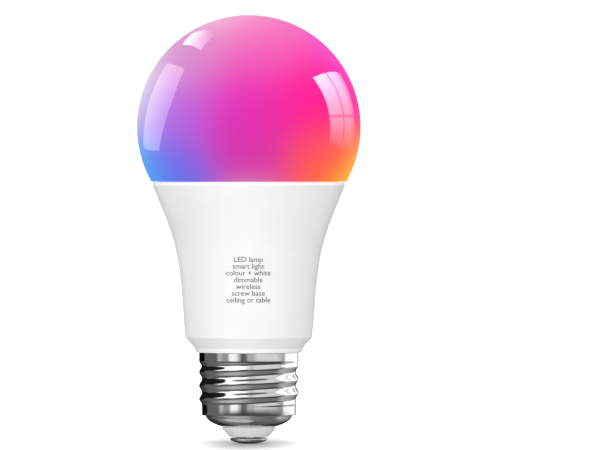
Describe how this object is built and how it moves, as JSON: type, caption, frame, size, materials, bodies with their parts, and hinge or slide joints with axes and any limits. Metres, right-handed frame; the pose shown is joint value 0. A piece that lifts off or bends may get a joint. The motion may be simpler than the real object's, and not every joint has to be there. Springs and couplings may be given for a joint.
{
  "type": "smart light bulb",
  "caption": "Screw-base light bulb with a glowing colour-gradient sphere diffuser, a flared white plastic housing and a rolled nickel thread.",
  "frame": {"origin": "tip of the centre contact, on the bulb's axis, where it meets the lampholder's centre tab", "axes": "+Z along the axis from the screw base to the top of the dome, -Y towards the side with the rating print"},
  "size_m": [0.059, 0.059, 0.1131],
  "materials": {
    "diffuser_plastic": "gloss",
    "housing_plastic": "satin",
    "nickel_plate": "polished",
    "contact_metal": "polished",
    "insulator_plastic": "matte",
    "silicone_bead": "matte",
    "sink_aluminium": "drawn",
    "led_board_white": "white solder resist",
    "circuit_board": "green solder resist",
    "radio_board_black": "black solder resist",
    "led_package": "satin",
    "warm_phosphor": "satin",
    "cool_phosphor": "satin",
    "zinc_plate": "satin",
    "chip_epoxy": "matte",
    "resistor_lacquer": "satin",
    "varistor_lacquer": "gloss",
    "film_box": "satin",
    "can_sleeve": "satin",
    "ferrite": "matte",
    "bobbin_plastic": "matte",
    "winding_tape": "satin",
    "tin_plate": "satin",
    "wire_red": "satin",
    "wire_white": "satin"
  },
  "bodies": {
    "root": {"diffuser_dome": "diffuser_plastic", "dome_seal": "silicone_bead", "housing_shell": "housing_plastic", "screw_shell": "nickel_plate", "base_insulator": "insulator_plastic", "centre_contact": "contact_metal", "heat_sink_cup": "sink_aluminium", "led_board": "led_board_white", "board_screw_1": "zinc_plate", "board_screw_2": "zinc_plate", "driver_board": "circuit_board", "bridge_rectifier": "chip_epoxy", "fuse_resistor": "resistor_lacquer", "varistor": "varistor_lacquer", "film_capacitor": "film_box", "input_capacitor": "can_sleeve", "filter_inductor": "ferrite", "transformer_core": "ferrite", "transformer_bobbin": "bobbin_plastic", "transformer_winding": "winding_tape", "output_capacitor": "can_sleeve", "driver_chip": "chip_epoxy", "supply_chip": "chip_epoxy", "radio_board": "radio_board_black", "radio_shield": "tin_plate", "radio_header": "bobbin_plastic", "live_wire": "wire_red", "neutral_wire": "wire_white", "colour_led_1": "led_package", "warm_led_1": "warm_phosphor", "cool_led_1": "cool_phosphor", "colour_led_2": "led_package", "warm_led_2": "warm_phosphor", "cool_led_2": "cool_phosphor", "colour_led_3": "led_package", "warm_led_3": "warm_phosphor", "cool_led_3": "cool_phosphor", "colour_led_4": "led_package", "warm_led_4": "warm_phosphor", "cool_led_4": "cool_phosphor", "colour_led_5": "led_package", "warm_led_5": "warm_phosphor", "cool_led_5": "cool_phosphor", "colour_led_6": "led_package", "warm_led_6": "warm_phosphor", "cool_led_6": "cool_phosphor"}
  },
  "joints": []
}
